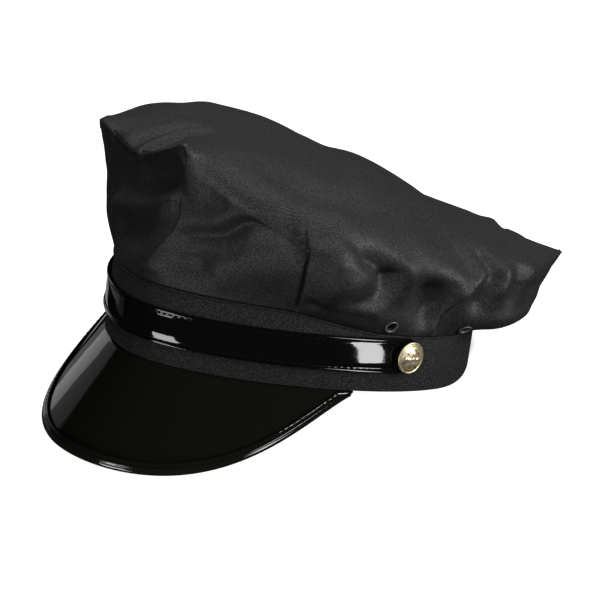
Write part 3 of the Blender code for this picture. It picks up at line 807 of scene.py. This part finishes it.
def make_crown(material):
    turns = graded_turns()
    side = np.linspace(0.0, 1.0, CROWN_SIDE_ROWS)
    top = 2.0 - np.linspace(1.0, CROWN_CENTRE_OUT, CROWN_TOP_ROWS)
    levels = np.concatenate([side, top[1:]])
    outer = crown_grid(turns, levels)
    coarse_turns = slice(None, None, 2)
    inner_rows = list(range(0, len(levels), 2))
    inner = outer[coarse_turns][:, inner_rows] - grid_normals(outer)[coarse_turns][:, inner_rows] * CROWN_WALL
    rows = len(levels)
    inner_count = len(inner_rows)
    clear = np.zeros(outer.shape[:2], bool)
    clear_inner = np.zeros(inner.shape[:2], bool)
    for _, centre, normal in eyelet_places():
        for grid, marks in ((outer, clear), (inner, clear_inner)):
            apart = grid - centre
            depth = apart @ normal
            radius = np.linalg.norm(apart - depth[..., None] * normal, axis=-1)
            marks |= (radius < EYELET_CLEAR) & (np.abs(depth) < 6.0)
    faces = []
    for step in range(CROWN_STEPS):
        after = (step + 1) % CROWN_STEPS
        for row in range(rows - 1):
            corners = ((step, row), (after, row), (after, row + 1), (step, row + 1))
            if any(clear[corner] for corner in corners):
                continue
            faces.append(tuple(turn * rows + level for turn, level in corners))
    first_inner = CROWN_STEPS * rows
    half_steps = CROWN_STEPS // 2
    for step in range(half_steps):
        after = (step + 1) % half_steps
        for row in range(inner_count - 1):
            corners = ((step, row), (step, row + 1), (after, row + 1), (after, row))
            if any(clear_inner[corner] for corner in corners):
                continue
            faces.append(tuple(first_inner + turn * inner_count + level for turn, level in corners))
        here = 2 * step
        middle = here + 1
        there = (here + 2) % CROWN_STEPS
        faces.append(
            (here * rows, first_inner + step * inner_count, first_inner + after * inner_count, there * rows, middle * rows)
        )
    points = np.vstack([outer.reshape(-1, 3), inner.reshape(-1, 3)])
    centre = outer[:, -1].mean(axis=0)
    points = np.vstack([points, centre, centre - [0.0, 0.0, CROWN_WALL]])
    for step in range(CROWN_STEPS):
        faces.append((step * rows + rows - 1, (step + 1) % CROWN_STEPS * rows + rows - 1, len(points) - 2))
    for step in range(half_steps):
        after = (step + 1) % half_steps
        last = inner_count - 1
        faces.append((first_inner + after * inner_count + last, first_inner + step * inner_count + last, len(points) - 1))
    around = cloth_maps(outer)
    inner_around = around[coarse_turns][:, inner_rows]
    maps = np.vstack([around.reshape(-1, 2), inner_around.reshape(-1, 2), [[0, 0], [0, 0]]])
    outer_on_top = np.tile(levels >= 1.0, CROWN_STEPS)
    inner_on_top = np.tile(levels[inner_rows] >= 1.0, half_steps)
    on_top = np.concatenate([outer_on_top, inner_on_top, [True] * 2])
    new_piece("crown_cloth", points, faces, "crown_cloth", ["crown"], material, maps, (on_top, points[:, :2]))


def cloth_maps(grid):
    """Place of each crown point in mm: round the head at half the side's height, and up from the band."""
    around = np.linalg.norm(np.roll(grid, -1, axis=0) - grid, axis=-1)
    side_row = CROWN_SIDE_ROWS // 2
    distance = np.concatenate([[0.0], np.cumsum(around[:-1, side_row])])
    upward = np.linalg.norm(np.diff(grid, axis=1), axis=-1)
    height = np.concatenate([np.zeros((len(grid), 1)), np.cumsum(upward, axis=1)], axis=1)
    reach = range(-MAP_REACH, MAP_REACH + 1)
    height = sum(np.roll(height, offset, axis=0) for offset in reach) / len(reach)
    return np.stack([np.broadcast_to(distance[:, None], height.shape), height], axis=-1)


def rounded_profile(corners, radius, steps=3):
    """Closed profile with each of its corners rounded by the radius."""
    corners = np.asarray(corners, float)
    rounded = []
    for index, corner in enumerate(corners):
        before = corners[index - 1] - corner
        after = corners[(index + 1) % len(corners)] - corner
        reach = min(radius, 0.45 * np.linalg.norm(before), 0.45 * np.linalg.norm(after))
        start = corner + before / np.linalg.norm(before) * reach
        end = corner + after / np.linalg.norm(after) * reach
        for part in np.linspace(0.0, 1.0, steps + 1):
            rounded.append((1 - part) ** 2 * start + 2 * part * (1 - part) * corner + part**2 * end)
    return np.array(rounded)


def make_band(material):
    turns = np.arange(BAND_STEPS) * 360.0 / BAND_STEPS
    outer = outline(turns)
    away = outward(turns)
    height = band_height(turns)
    corners = [(0.0, 0.0), (-BAND_WALL, 0.0), (-BAND_WALL, 1.0), (0.0, 1.0)]
    rows = []
    for turn_index in range(BAND_STEPS):
        tall = [(out, up * height[turn_index]) for out, up in corners]
        ring = rounded_profile(tall, BAND_EDGE)
        rows.append(lift(outer[turn_index] + away[turn_index] * ring[:, :1], ring[:, 1]))
    points = np.stack(rows)
    profile_count = points.shape[1]
    along = np.concatenate([[0.0], np.cumsum(np.linalg.norm(np.diff(outer, axis=0), axis=-1))])
    profile_length = np.concatenate([[0.0], np.cumsum(np.linalg.norm(np.diff(points[0], axis=0), axis=-1))])
    maps = np.stack(np.broadcast_arrays(along[:, None], profile_length[None, :]), axis=-1)
    faces = sweep_faces(BAND_STEPS, profile_count, True)
    new_piece("band_cloth", points.reshape(-1, 3), faces, "band_cloth", ["band"], material, maps.reshape(-1, 2))
    # Edge of the band where the crown is sewn in, as a thin rounded cord of folded cloth
    seam = lift(outline(turns) + outward(turns) * 0.1, 0.0)
    seam[:, 2] = band_height(turns) - 0.45
    cord_angles = np.arange(8) * np.pi / 4
    ring = np.stack([np.cos(cord_angles), np.sin(cord_angles)], axis=-1) * 0.42
    rows = seam[:, None] + away[:, None] * ring[None, :, :1]
    rows[..., 2] += ring[:, 1]
    seam_maps = np.stack(np.broadcast_arrays(along[:, None], np.arange(8)[None, :] * 0.3), axis=-1)
    new_piece(
        "band_seam", rows.reshape(-1, 3), sweep_faces(BAND_STEPS, 8, True), "band_cloth", [], material,
        seam_maps.reshape(-1, 2),
    )


def peak_width(share):
    """Width of the peak at a share of its half turn, from -1 to 1."""
    return PEAK_WIDTH * (1.0 - np.abs(share) ** PEAK_FULLNESS) ** PEAK_TAPER


def peak_frame(share):
    """Root points of the peak with the directions down its slope and square to its upper face."""
    turn = share * PEAK_HALF_TURN
    slope = np.radians(PEAK_SLOPE + (PEAK_END_SLOPE - PEAK_SLOPE) * share**2)[:, None]
    out = outward(turn)
    down = np.array([0.0, 0.0, -1.0])
    along = out * np.cos(slope) + down * np.sin(slope)
    upper = out * np.sin(slope) - down * np.cos(slope)
    return lift(outline(turn), -GAP), along, upper


def make_peak(material):
    shares = np.linspace(-PEAK_END, PEAK_END, PEAK_STEPS)
    root, along, upper = peak_frame(shares)
    width = peak_width(shares) - BINDING_WALL - GAP
    parts = np.linspace(0.0, 1.0, PEAK_ROWS)
    top = root[:, None] + along[:, None] * (width[:, None] * parts)[..., None]
    under = top - upper[:, None] * PEAK_WALL
    inward = -outward(shares * PEAK_HALF_TURN)[:, None]
    flange = lift(root[:, None] + inward * PEAK_FLANGE, 0.6 * GAP)
    flange_under = lift(under[:, :1] + inward * PEAK_FLANGE, 0.0)
    ring = np.concatenate([flange, top, under[:, ::-1], flange_under], axis=1)
    new_piece(
        "peak_patent", ring.reshape(-1, 3), sweep_faces(PEAK_STEPS, 2 * PEAK_ROWS + 2, False), "peak_patent", ["peak"],
        material,
    )


def even_lengths(points, pitch):
    """Length along a row at each of its points, and the evenly spaced lengths at a pitch."""
    length = np.concatenate([[0.0], np.cumsum(np.linalg.norm(np.diff(points, axis=0), axis=-1))])
    wanted = np.arange(0.5 * pitch, length[-1], pitch)
    return length, wanted


def binding_edge(shares):
    """Edge points of the peak with its directions and the binding's leg."""
    root, along, upper = peak_frame(shares)
    width = peak_width(shares)
    edge = root + along * width[:, None]
    return edge, along, upper, np.minimum(BINDING_LEG, width - BINDING_ROOT_CLEARANCE)


def make_peak_binding(material, thread):
    shares = np.linspace(-BINDING_END, BINDING_END, BINDING_STEPS)
    edge, along, upper, leg = binding_edge(shares)
    outer = GAP + BINDING_WALL
    half = 0.5 * PEAK_WALL
    round_radius = half + outer
    # Each row is the share of the leg, a step back from the edge and the height above the peak's face.
    profile = [
        (1.0, 0.0, GAP * 0.4),
        (1.0, 0.0, 0.7 * outer),
        (1.0, -0.25, outer),
        (0.84, 0.0, outer * 0.97),
        (BINDING_STITCH_SHARE, 0.0, outer * 0.86),
        (0.6, 0.0, outer),
        (0.45, 0.0, outer * 1.06),
        (0.3, 0.0, outer * 1.07),
    ]
    for angle in np.radians(np.arange(90, -91, -20)):
        profile.append((0.0, round_radius * (1 - np.cos(angle)), round_radius * np.sin(angle) - half))
    profile += [
        (0.4, 0.0, -PEAK_WALL - outer),
        (0.8, 0.0, -PEAK_WALL - outer),
        (1.0, -0.3, -PEAK_WALL - outer),
        (1.0, 0.0, -PEAK_WALL - 0.5 * outer),
        (1.0, 0.0, -PEAK_WALL - GAP * 0.4),
    ]
    length, _ = even_lengths(edge, STITCH_PITCH)
    pucker = PUCKER_DEPTH * np.cos(2 * np.pi * length / STITCH_PITCH)
    wave = 0.03 * np.sin(2 * np.pi * length / BINDING_LONG_WAVE)
    wave = wave + 0.012 * np.sin(2 * np.pi * length / BINDING_SHORT_WAVE + 1.0)
    rows = []
    for leg_share, back, height in profile:
        near_line = np.exp(-(((leg_share - BINDING_STITCH_SHARE) / 0.16) ** 2)) if height > 0 else 0.0
        uneven = (pucker + wave) * near_line + 0.35 * wave * (leg_share > 0.2) * (height > 0)
        step_back = leg_share * leg + back + 0.25 * wave * (leg_share == 1.0)
        rows.append(edge - along * step_back[:, None] + upper * (height + uneven)[:, None])
    points = np.stack(rows, axis=1)
    new_piece(
        "peak_binding_patent", points.reshape(-1, 3), sweep_faces(BINDING_STEPS, len(profile), False), "binding_patent",
        ["peak_binding"], material,
    )
    line = edge - along * (BINDING_STITCH_SHARE * leg)[:, None]
    make_stitches("binding_stitches", line + upper * (0.86 * outer), upper, "binding_patent", thread)
    make_stitches("binding_stitches_under", line - upper * (PEAK_WALL + outer), -upper, "binding_patent", thread)


def strap_frame():
    """Turns and half widths along the chin strap, with its ends rounded."""
    half = 0.5 * STRAP_WIDTH
    radius_turn = np.degrees(half / np.linalg.norm(outline(STRAP_END_TURN)))
    angles = np.radians(np.linspace(4.0, 88.0, 22))
    main = np.linspace(-STRAP_END_TURN, STRAP_END_TURN, STRAP_STEPS)
    ends = STRAP_END_TURN + radius_turn * np.sin(angles)
    turns = np.concatenate([-ends[::-1], main, ends])
    halves = np.concatenate([half * np.cos(angles)[::-1], np.full(STRAP_STEPS, half), half * np.cos(angles)])
    return turns, halves


def strap_points(turns, height, out):
    """Points on the band's front at the heights and distances from its face."""
    points = outline(turns) + outward(turns) * np.asarray(out, float)[..., None]
    points[..., 2] = height
    return points


def make_chin_strap(material, thread):
    turns, halves = strap_frame()
    welt = np.minimum(STRAP_WELT_WIDTH, 0.6 * halves)
    raised = STRAP_WALL + STRAP_WELT_RISE
    centre_line = strap_points(turns, np.full_like(turns, STRAP_HEIGHT), np.full_like(turns, GAP))
    length, _ = even_lengths(centre_line, STITCH_PITCH)
    pucker = np.cos(2 * np.pi * length / STITCH_PITCH)
    drift = 0.04 * np.sin(2 * np.pi * length / STRAP_WAVE)
    half_profile = [
        (1.0, 0.0, 0.0),
        (1.0, 0.0, 0.35 * raised),
        (1.0, -0.06, 0.7 * raised),
        (1.0, -0.2, 0.92 * raised),
        (1.0, -0.38, raised),
        (1.0, -0.6, raised),
        (1.0, -0.8, 0.9 * raised),
        (1.0, -0.95, 0.78 * raised),
        (1.0, -1.15, STRAP_WALL * 0.9),
        (1.0, -1.45, STRAP_WALL * 0.95),
        (1.0, -1.8, STRAP_WALL + 0.04),
        (0.6, 0.0, STRAP_WALL + 0.12),
        (0.3, 0.0, STRAP_WALL + 0.2),
        (0.1, 0.0, STRAP_WALL + 0.22),
    ]
    profile = half_profile + [(-share, -step, out) for share, step, out in reversed(half_profile)]
    rows = []
    for share, welt_share, out in profile:
        beside_line = np.exp(-(((abs(welt_share) - 1.25) / 0.3) ** 2)) if abs(share) == 1.0 else 0.0
        uneven = STRAP_PUCKER_DEPTH * pucker * beside_line + drift * (out > 1.0) * 0.7
        rows.append(strap_points(turns, STRAP_HEIGHT + share * halves + welt_share * welt, GAP + out + uneven))
    points = np.stack(rows, axis=1)
    new_piece(
        "strap_patent", points.reshape(-1, 3), sweep_faces(len(turns), len(profile), False), "strap_patent",
        ["chin_strap"], material,
    )
    main = np.abs(turns) <= STRAP_END_TURN
    for name, side in (("strap_stitches_upper", 1.0), ("strap_stitches_lower", -1.0)):
        level = STRAP_HEIGHT + side * (halves[main] - WELT_STITCH_SHARE * welt[main])
        out = np.full_like(level, GAP + STRAP_WALL * 0.97)
        make_stitches(name, strap_points(turns[main], level, out), outward(turns[main]), "strap_patent", thread)


def make_stitches(name, line, normals, slot, material):
    """Row of short thread loops that lie on a line of points."""
    length, middles = even_lengths(line, STITCH_PITCH)
    rings = np.array([-0.5, -0.42, -0.25, 0.0, 0.25, 0.42, 0.5]) * STITCH_LENGTH
    sizes = np.array([0.25, 0.75, 1.0, 1.0, 1.0, 0.75, 0.25]) * STITCH_RADIUS
    dips = np.array([-1.0, -0.45, 0.0, 0.12, 0.0, -0.45, -1.0]) * STITCH_RADIUS
    angles = np.arange(8) * np.pi / 4
    points = []
    faces = []
    for middle in middles:
        start = len(points)
        at = np.array([np.interp(middle, length, line[:, axis]) for axis in range(3)])
        ahead = np.array([np.interp(middle + 0.5, length, line[:, axis]) for axis in range(3)])
        along = ahead - at
        along /= np.linalg.norm(along)
        up = np.array([np.interp(middle, length, normals[:, axis]) for axis in range(3)])
        up /= np.linalg.norm(up)
        side = np.cross(up, along)
        for offset, size, dip in zip(rings, sizes, dips):
            for angle in angles:
                spoke = side * np.cos(angle) + up * np.sin(angle)
                points.append(at + along * offset + up * (dip + 0.1) + spoke * size)
        faces += [tuple(start + index for index in face) for face in sweep_faces(len(rings), len(angles), False)]
    new_piece(name, np.array(points), faces, slot, [], material)


def turned_spokes(steps, axis):
    """Angles of even steps about an axis, and the direction across the axis at each of them."""
    side = np.cross([0.0, 0.0, 1.0], axis)
    side /= np.linalg.norm(side)
    upright = np.cross(axis, side)
    angles = np.arange(steps) * 2 * np.pi / steps
    return angles, np.cos(angles)[:, None] * side + np.sin(angles)[:, None] * upright


def button_relief(radius, angle):
    """Raised rope ring, a plain four-rayed rosette round a boss, and eight leaves on the button's dome."""
    rope = 0.12 * np.exp(-(((radius - 5.35) / 0.25) ** 2)) * (1.0 + 0.3 * np.cos(36 * angle))
    rays = np.clip(np.cos(4 * angle), 0.0, 1.0) ** 2
    rosette = 0.4 * rays * np.exp(-(((radius - 2.5) / 1.15) ** 2))
    boss = 0.3 * np.exp(-((radius / 0.75) ** 2))
    leaves = 0.2 * np.clip(np.cos(8 * angle), 0.0, 1.0) * np.exp(-(((radius - 4.35) / 0.4) ** 2))
    return rope + rosette + boss + leaves


def make_buttons(material):
    for name, turn in (("button_left", BUTTON_TURN), ("button_right", -BUTTON_TURN)):
        facing = np.radians(BUTTON_FACING) * np.sign(turn)
        out = np.array([np.sin(facing), -np.cos(facing), 0.0])
        base = GAP + STRAP_WALL + STRAP_WELT_RISE + GAP + BUTTON_STAND_OFF
        centre = lift(outline(turn), STRAP_HEIGHT) + outward(turn) * base
        profile = []
        for (radius, height), (next_radius, next_height) in zip(BUTTON_PROFILE[:-1], BUTTON_PROFILE[1:]):
            pieces = 3 if height > 1.1 else 1
            for step in range(pieces):
                part = step / pieces
                profile.append((radius + (next_radius - radius) * part, height + (next_height - height) * part))
        profile.append(BUTTON_PROFILE[-1])
        angles, spokes = turned_spokes(BUTTON_STEPS, out)
        rings = []
        for radius, height in profile:
            relief = button_relief(radius, angles) if radius < 6.2 and height > 0.0 else np.zeros_like(angles)
            rings.append(centre + radius * spokes + (height + relief)[:, None] * out)
        points = np.stack(rings, axis=1)
        faces = []
        count = len(profile)
        for step in range(BUTTON_STEPS):
            after = (step + 1) % BUTTON_STEPS
            for row in range(count - 1):
                faces.append((step * count + row, after * count + row, after * count + row + 1, step * count + row + 1))
        faces.append(tuple(step * count for step in reversed(range(BUTTON_STEPS))))
        faces.append(tuple(step * count + count - 1 for step in range(BUTTON_STEPS)))
        new_piece(name + "_metal", points.reshape(-1, 3), faces, "button_gold", [name], material)


def make_eyelets(material):
    for name, centre, normal in eyelet_places():
        _, spokes = turned_spokes(EYELET_STEPS, normal)
        rings = [centre + radius * spokes + height * normal for radius, height in EYELET_PROFILE]
        points = np.stack(rings, axis=1).reshape(-1, 3)
        faces = sweep_faces(EYELET_STEPS, len(EYELET_PROFILE), True)
        new_piece(name + "_metal", points, faces, "eyelet_metal", [name], material)


def make_floor():
    mesh = bpy.data.meshes.new("floor")
    half = 0.5 * FLOOR_SIZE
    mesh.from_pydata([(-half, -half, 0), (half, -half, 0), (half, half, 0), (-half, half, 0)], [], [(0, 1, 2, 3)])
    material, tree, shader = new_material("floor")
    shader.inputs["Base Color"].default_value = (0.6, 0.6, 0.6, 1.0)
    shader.inputs["Emission Color"].default_value = (1.0, 1.0, 1.0, 1.0)
    # The glow stands for light scattered on the white table; it fades to none in a disc under the cap, a painted shadow
    # where that light doesn't reach.
    where = add_node(tree, "ShaderNodeTexCoord", {})
    apart = add_node(
        tree, "ShaderNodeVectorMath", {0: where.outputs["Object"], 1: FLOOR_SHADE_CENTRE}, operation="DISTANCE"
    )
    glow = add_node(
        tree,
        "ShaderNodeMapRange",
        {"Value": apart.outputs["Value"], "From Min": FLOOR_SHADE_CORE, "From Max": FLOOR_SHADE_RADIUS,
         "To Min": 0.0, "To Max": FLOOR_GLOW},
    )
    tree.links.new(glow.outputs["Result"], shader.inputs["Emission Strength"])
    shader.inputs["Roughness"].default_value = 0.9
    shader.inputs["Specular IOR Level"].default_value = 0.0
    mesh.materials.append(material)
    floor = bpy.data.objects.new("floor", mesh)
    bpy.context.scene.collection.objects.link(floor)
    floor.visible_glossy = False
    floor.visible_diffuse = False
    floor.visible_shadow = False


def make_lights():
    lit = {"shiny": bpy.data.collections.new("shiny"), "matt": bpy.data.collections.new("matt")}
    lit["matt"].objects.link(bpy.data.objects["floor"])
    for made, slot in PIECES:
        shiny = slot in SHINY_SLOTS and "stitches" not in made.name
        lit["shiny" if shiny else "matt"].objects.link(made)
    for name, azimuth, elevation, distance, width, height, radiance, lights in LIGHTS:
        across = np.radians(azimuth)
        up = np.radians(elevation)
        away = Vector((np.sin(across) * np.cos(up), -np.cos(across) * np.cos(up), np.sin(up)))
        light = bpy.data.lights.new(name, "AREA")
        light.shape = "RECTANGLE"
        light.size = width
        light.size_y = height
        light.energy = radiance * np.pi * width * height
        made = bpy.data.objects.new(name, light)
        bpy.context.scene.collection.objects.link(made)
        made.location = Vector(LIGHT_AIM) + away * distance
        made.rotation_euler = (-away).to_track_quat("-Z", "Y").to_euler()
        made.visible_camera = False
        made.visible_diffuse = lights != "sheen"
        made.visible_glossy = lights != "diffuse"
        made.light_linking.receiver_collection = lit["shiny" if lights == "shiny" else "matt"]


def make_world():
    world = bpy.data.worlds.new("studio")
    world.use_nodes = True
    background = world.node_tree.nodes["Background"]
    background.inputs["Color"].default_value = (1.0, 1.0, 1.0, 1.0)
    background.inputs["Strength"].default_value = WORLD_STRENGTH
    world.cycles_visibility.glossy = False
    world.cycles_visibility.diffuse = False
    bpy.context.scene.world = world


def make_camera():
    camera = bpy.data.cameras.new("camera")
    camera.lens = CAMERA_LENS
    camera.clip_end = 100.0
    made = bpy.data.objects.new("camera", camera)
    bpy.context.scene.collection.objects.link(made)
    place_of_camera = Vector(CAMERA_PLACE)
    looking = (Vector(CAMERA_AIM) - place_of_camera).to_track_quat("-Z", "Y").to_matrix().to_4x4()
    rolled = Matrix.Rotation(np.radians(CAMERA_ROLL), 4, "Z")
    made.matrix_world = Matrix.Translation(place_of_camera) @ looking @ rolled
    bpy.context.scene.camera = made


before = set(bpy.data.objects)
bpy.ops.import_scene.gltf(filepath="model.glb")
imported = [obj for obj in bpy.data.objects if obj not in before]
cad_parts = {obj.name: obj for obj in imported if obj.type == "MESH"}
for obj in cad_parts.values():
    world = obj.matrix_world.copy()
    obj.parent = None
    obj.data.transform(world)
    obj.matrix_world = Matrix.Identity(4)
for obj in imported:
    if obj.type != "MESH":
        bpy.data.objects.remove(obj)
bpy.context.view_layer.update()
PLACE = place()
PIECES = []

crown_twill = cloth_material("crown_twill", (0.0, 0.0, 0.0), (0.040, 0.040, 0.0403), 0.02, 0.5, 0.34, 1.0, 45.0)
band_twill = cloth_material("band_twill", (0.0, 0.0, 0.0), (0.036, 0.036, 0.0364), 0.02, 0.66, 0.2, 0.9, 45.0)
patent = patent_material("black_patent", (0.0075, 0.0073, 0.006), 0.12)
strap_shine = patent_material("strap_patent_shine", (0.003, 0.003, 0.003), 0.08)
gold = metal_material("pale_gold", (0.86, 0.74, 0.48), (0.3, 0.21, 0.09), 0.27, 260.0, 0.75)
grey_metal = metal_material("dark_grey_metal", (0.2, 0.2, 0.195), (0.1, 0.1, 0.1), 0.42, 400.0, 0.7)
black_thread = thread_material("black_thread", (0.004, 0.004, 0.004))

make_crown(crown_twill)
make_band(band_twill)
make_peak(patent)
make_peak_binding(patent, black_thread)
make_chin_strap(strap_shine, black_thread)
make_buttons(gold)
make_eyelets(grey_metal)
make_floor()
make_lights()
make_world()
make_camera()
bpy.context.scene.view_settings.view_transform = "Standard"
